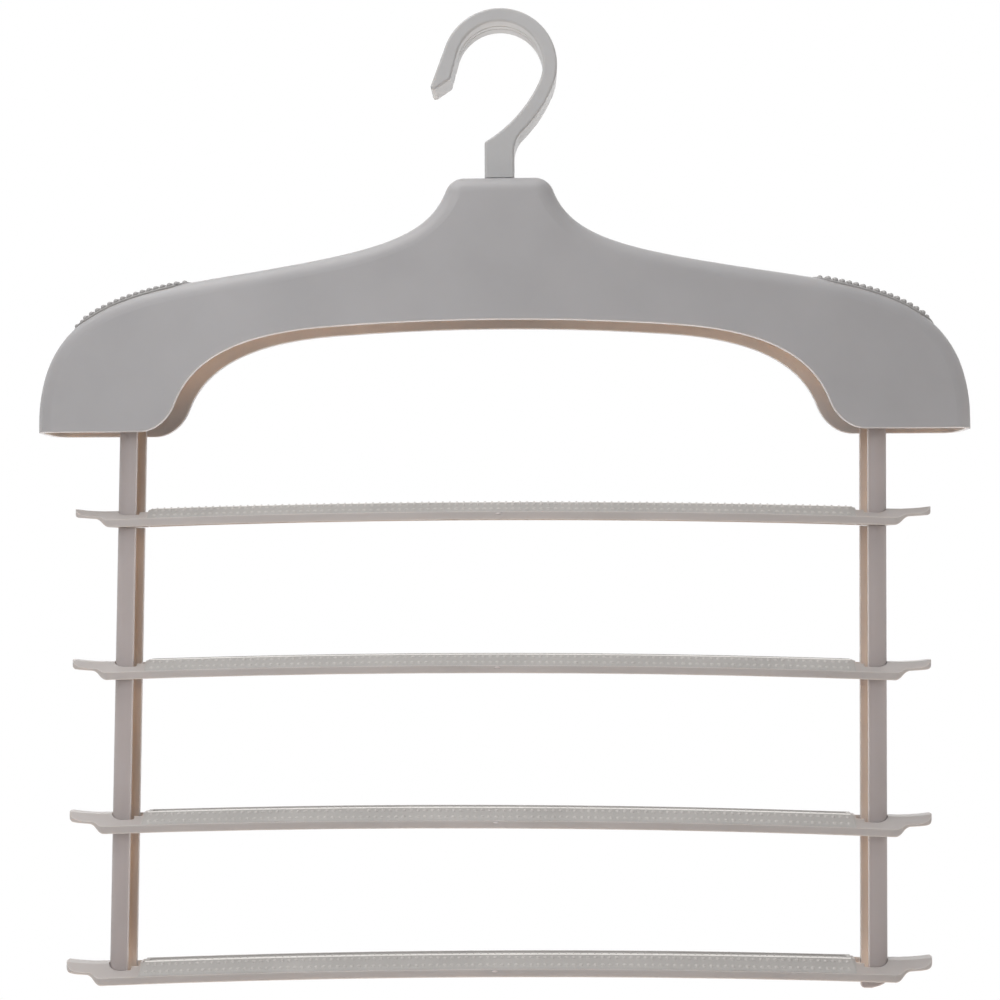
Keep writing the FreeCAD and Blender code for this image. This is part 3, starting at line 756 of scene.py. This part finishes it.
# The cavities' colours are painted light and shade; the edge colours are painted highlights.
hook_plastic = moulded_polypropylene(
    "polypropylene_hook", grey="#B3B2B2", cavity_shade_colour="#B8B5B3", cavity_mm=3,
    edge_highlight_colour="#C4C2C0", edge_highlight_mm=0.4, roughness=0.46)
shell_plastic = moulded_polypropylene(
    "polypropylene_shell", grey="#A4A2A3", cavity_shade_colour="#E8DACE", cavity_mm=45,
    edge_highlight_colour="#D2C8C3", edge_highlight_mm=0.6, roughness=0.44)
bar_plastic = moulded_polypropylene(
    "polypropylene_bar", grey="#B2ACA9", cavity_shade_colour="#B8A394", cavity_mm=20,
    edge_highlight_colour="#CEC7C2", edge_highlight_mm=0.4, roughness=0.46)
link_plastic = moulded_polypropylene(
    "polypropylene_link", grey="#AEA5A3", cavity_shade_colour="#E0CFBE", cavity_mm=14,
    edge_highlight_colour="#DAD0CA", edge_highlight_mm=0.6, roughness=0.46)
gate_plastic = moulded_polypropylene(
    "polypropylene_gate", grey="#D2C6C2", cavity_shade_colour="#C8BAB5", cavity_mm=3,
    edge_highlight_colour="#DED4D0", edge_highlight_mm=0.2, roughness=0.4)

# %% [markdown]
# ## The rubbery grips
#
# The grips are a moulded elastomer, duller than the polypropylene, with an index of about 1.5 and a
# rough, nearly glossless skin. Its grain of 0.2 mm is too fine to show as well, and is drawn at 0.5 mm.
# The studs' grey is lighter than the strip's, a painted highlight on their tips, and the gaps between
# studs are painted darker, as painted shade. The strips, the painted highlight along their lips, their
# studs and the pads each have their own greys.

# %% The elastomer of the strips and pads
elastomer_index = 1.5
elastomer_specular = 0.4
elastomer_cloud_mm = 22
elastomer_cloud_swing = 0.05
elastomer_grain_mm = 0.5
elastomer_grain_depth_mm = 0.04
elastomer_grain_strength = 0.1
elastomer_gloss_swing = 0.05
# Reach and range of the painted shade between studs.
hollow_shade_mm = 1.6
hollow_shade_shut, hollow_shade_wide = 0.45, 0.95


def moulded_elastomer(material, grey, hollow_shade_colour, roughness):
    """Grey elastomer, with a painted shade in the hollows between its studs."""
    tree = empty_tree(material)
    where = node(tree, "ShaderNodeTexCoord").outputs["Object"]
    # Painted shade in the hollows between studs.
    body = painted_hollow_shading(tree, hollow_shade_mm, hollow_shade_shut, hollow_shade_wide, hollow_shade_colour, grey)
    tone = scaled(tree, body, clouds(tree, where, elastomer_cloud_mm, elastomer_cloud_swing))
    height = grain(tree, where, elastomer_grain_mm)
    relief = node(
        tree, "ShaderNodeBump",
        {"Strength": elastomer_grain_strength, "Distance": mm(elastomer_grain_depth_mm)}, {"Height": height})
    shader = node(
        tree, "ShaderNodeBsdfPrincipled", {"IOR": elastomer_index, "Specular IOR Level": elastomer_specular},
        {"Base Color": tone, "Roughness": uneven_gloss(tree, height, roughness, elastomer_gloss_swing),
         "Normal": relief.outputs["Normal"]})
    node(tree, "ShaderNodeOutputMaterial", links={"Surface": shader.outputs["BSDF"]})
    print("material", material.name)


# The second grey of each is painted shade for the hollows between studs.
moulded_elastomer(grip_elastomer, grey="#ADAAA7", hollow_shade_colour="#A6A29F", roughness=0.5)
# A painted highlight along the lips.
moulded_elastomer(lip_highlight_elastomer, grey="#F0EDE9", hollow_shade_colour="#E2DEDA", roughness=0.4)
# A painted highlight on the stud tips.
moulded_elastomer(stud_highlight_elastomer, grey="#BCB8B5", hollow_shade_colour="#AEAAA7", roughness=0.45)
moulded_elastomer(pad_elastomer, grey="#A6A4A3", hollow_shade_colour="#8C8886", roughness=0.5)

# %% Give every piece its finish
finishes = {
    "hook_plastic": hook_plastic,
    "shell_plastic": shell_plastic,
    "bar_plastic": bar_plastic,
    "link_plastic": link_plastic,
    "grip_elastomer": grip_elastomer,
}
for part in frame["record"]["subparts"]:
    solid = frame["nodes"][part["node"]]
    for slot in solid.material_slots:
        slot.material = finishes[part["material_slot"]]
for gate in gates:
    gate.data.materials.append(gate_plastic)
print(len(finishes), "finishes on the solids")

# %% [markdown]
# ## Floor, light and camera
#
# The hanger hangs over a wide pale floor. A large soft lamp overhead, a little to the left, is the key. A
# wide one below stands for the light that a white floor sends back up. One behind shines through the thin
# walls. A weak one in front, a little to the left, lights the fronts, and one at the right reaches into
# the left links. To the camera, and in reflections, the surroundings are plain white and the floor nearly
# so: enough of its paper shows to keep the hanger's shadow. The camera's place and angles come from
# matching the hanger's outline in the photograph, for a square picture of 1000 pixels.

# %% The floor and the white surroundings
floor_drop = 1.6
floor_size = 6.8
floor_whiteness = 0.85
white = linear("#FFFFFF")
white_strength = 1.0
sky_strength = 0.3


def white_to_the_eye(tree):
    """1 for rays from the camera, in reflections or through glass, and 0 for light that falls on things."""
    path = node(tree, "ShaderNodeLightPath")
    seen = node(
        tree, "ShaderNodeMath", {"operation": "MAXIMUM"},
        {0: path.outputs["Is Camera Ray"], 1: path.outputs["Is Glossy Ray"]})
    both = node(
        tree, "ShaderNodeMath", {"operation": "MAXIMUM"},
        {0: seen.outputs["Value"], 1: path.outputs["Is Transmission Ray"]})
    return both.outputs["Value"]


bpy.ops.object.select_all(action="DESELECT")
bpy.ops.mesh.primitive_plane_add(size=floor_size, location=(0, 0, -floor_drop))
floor = start("floor")
floor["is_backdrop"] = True
paper = bpy.data.materials.new("floor_paper")
paper_tree = empty_tree(paper)
paper_matt = node(paper_tree, "ShaderNodeBsdfDiffuse", {"Color": linear("#F2ECE6")})
paper_white = node(paper_tree, "ShaderNodeEmission", {"Color": white, "Strength": white_strength})
paper_share = node(
    paper_tree, "ShaderNodeMath", {"operation": "MULTIPLY", 1: floor_whiteness},
    {0: white_to_the_eye(paper_tree)})
paper_mix = node(paper_tree, "ShaderNodeMixShader", links={
    0: paper_share.outputs["Value"], 1: paper_matt.outputs["BSDF"], 2: paper_white.outputs["Emission"]})
node(paper_tree, "ShaderNodeOutputMaterial", links={"Surface": paper_mix.outputs["Shader"]})
floor.data.materials.append(paper)

world = bpy.data.worlds.new("studio")
bpy.context.scene.world = world
sky_tree = empty_tree(world)
sky_light = node(sky_tree, "ShaderNodeBackground", {"Color": linear("#FCFDFF"), "Strength": sky_strength})
sky_white = node(sky_tree, "ShaderNodeBackground", {"Color": white, "Strength": white_strength})
sky_mix = node(sky_tree, "ShaderNodeMixShader", links={
    0: white_to_the_eye(sky_tree), 1: sky_light.outputs["Background"], 2: sky_white.outputs["Background"]})
node(sky_tree, "ShaderNodeOutputWorld", links={"Surface": sky_mix.outputs["Shader"]})
print("floor", floor_drop, "m below the rail")

# %% The lamps
hanger_middle = Vector((0, 0, -0.2))


def soft_lamp(name, place, size, power, colour):
    """A square lamp that faces the hanger's middle."""
    turn = (hanger_middle - Vector(place)).to_track_quat("-Z", "Y").to_euler()
    bpy.ops.object.light_add(type="AREA", location=place, rotation=turn)
    lamp = bpy.context.active_object
    lamp.name = name
    lamp.data.shape = "SQUARE"
    lamp.data.size = size
    lamp.data.energy = power
    lamp.data.color = linear(colour)[:3]
    lamp.visible_camera = False
    print(name, power, "W")


soft_lamp("overhead_lamp", place=(-0.4, -0.35, 1.15), size=1.2, power=15, colour="#FFFEFC")
soft_lamp("under_lamp", place=(-0.1, 0.1, -1.35), size=2.0, power=23, colour="#FFFAF6")
soft_lamp("back_lamp", place=(0.1, 1.3, -0.2), size=2.0, power=11, colour="#FFFFFF")
soft_lamp("left_lamp", place=(-0.35, -1.0, 0.2), size=0.8, power=4.6, colour="#FCFDFF")
soft_lamp("right_lamp", place=(1.3, -0.15, -0.3), size=0.8, power=2.2, colour="#FFF6EE")

# %% The camera
picture_px = 1000
sensor_mm = 36
focal_px = 1352.84
eye = Vector((mm(17.60), mm(-587.31), mm(-211.89)))
tilt_up = math.radians(2.2014)
turn_left = math.radians(1.7438)
roll = math.radians(-0.1413)
nearest_seen = mm(10)

level_turn = Matrix.Rotation(turn_left, 4, "Z") @ Matrix.Rotation(math.pi / 2 + tilt_up, 4, "X")
aim = level_turn @ Matrix.Rotation(roll, 4, "Z")
bpy.ops.object.camera_add(location=eye, rotation=aim.to_euler())
camera = bpy.context.active_object
camera.name = "photo_camera"
camera.data.sensor_width = sensor_mm
camera.data.lens = focal_px * sensor_mm / picture_px
camera.data.clip_start = nearest_seen
scene = bpy.context.scene
scene.camera = camera
scene.view_settings.view_transform = "Standard"
print("lens", round(camera.data.lens, 2), "mm")

# %% Compare the finished object's box with the solids'
dressed_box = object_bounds()
for name, (low, high) in (("solids", solid_box), ("dressed", dressed_box)):
    print(name, [round((b - a) * 1000, 2) for a, b in zip(low, high)], "mm")
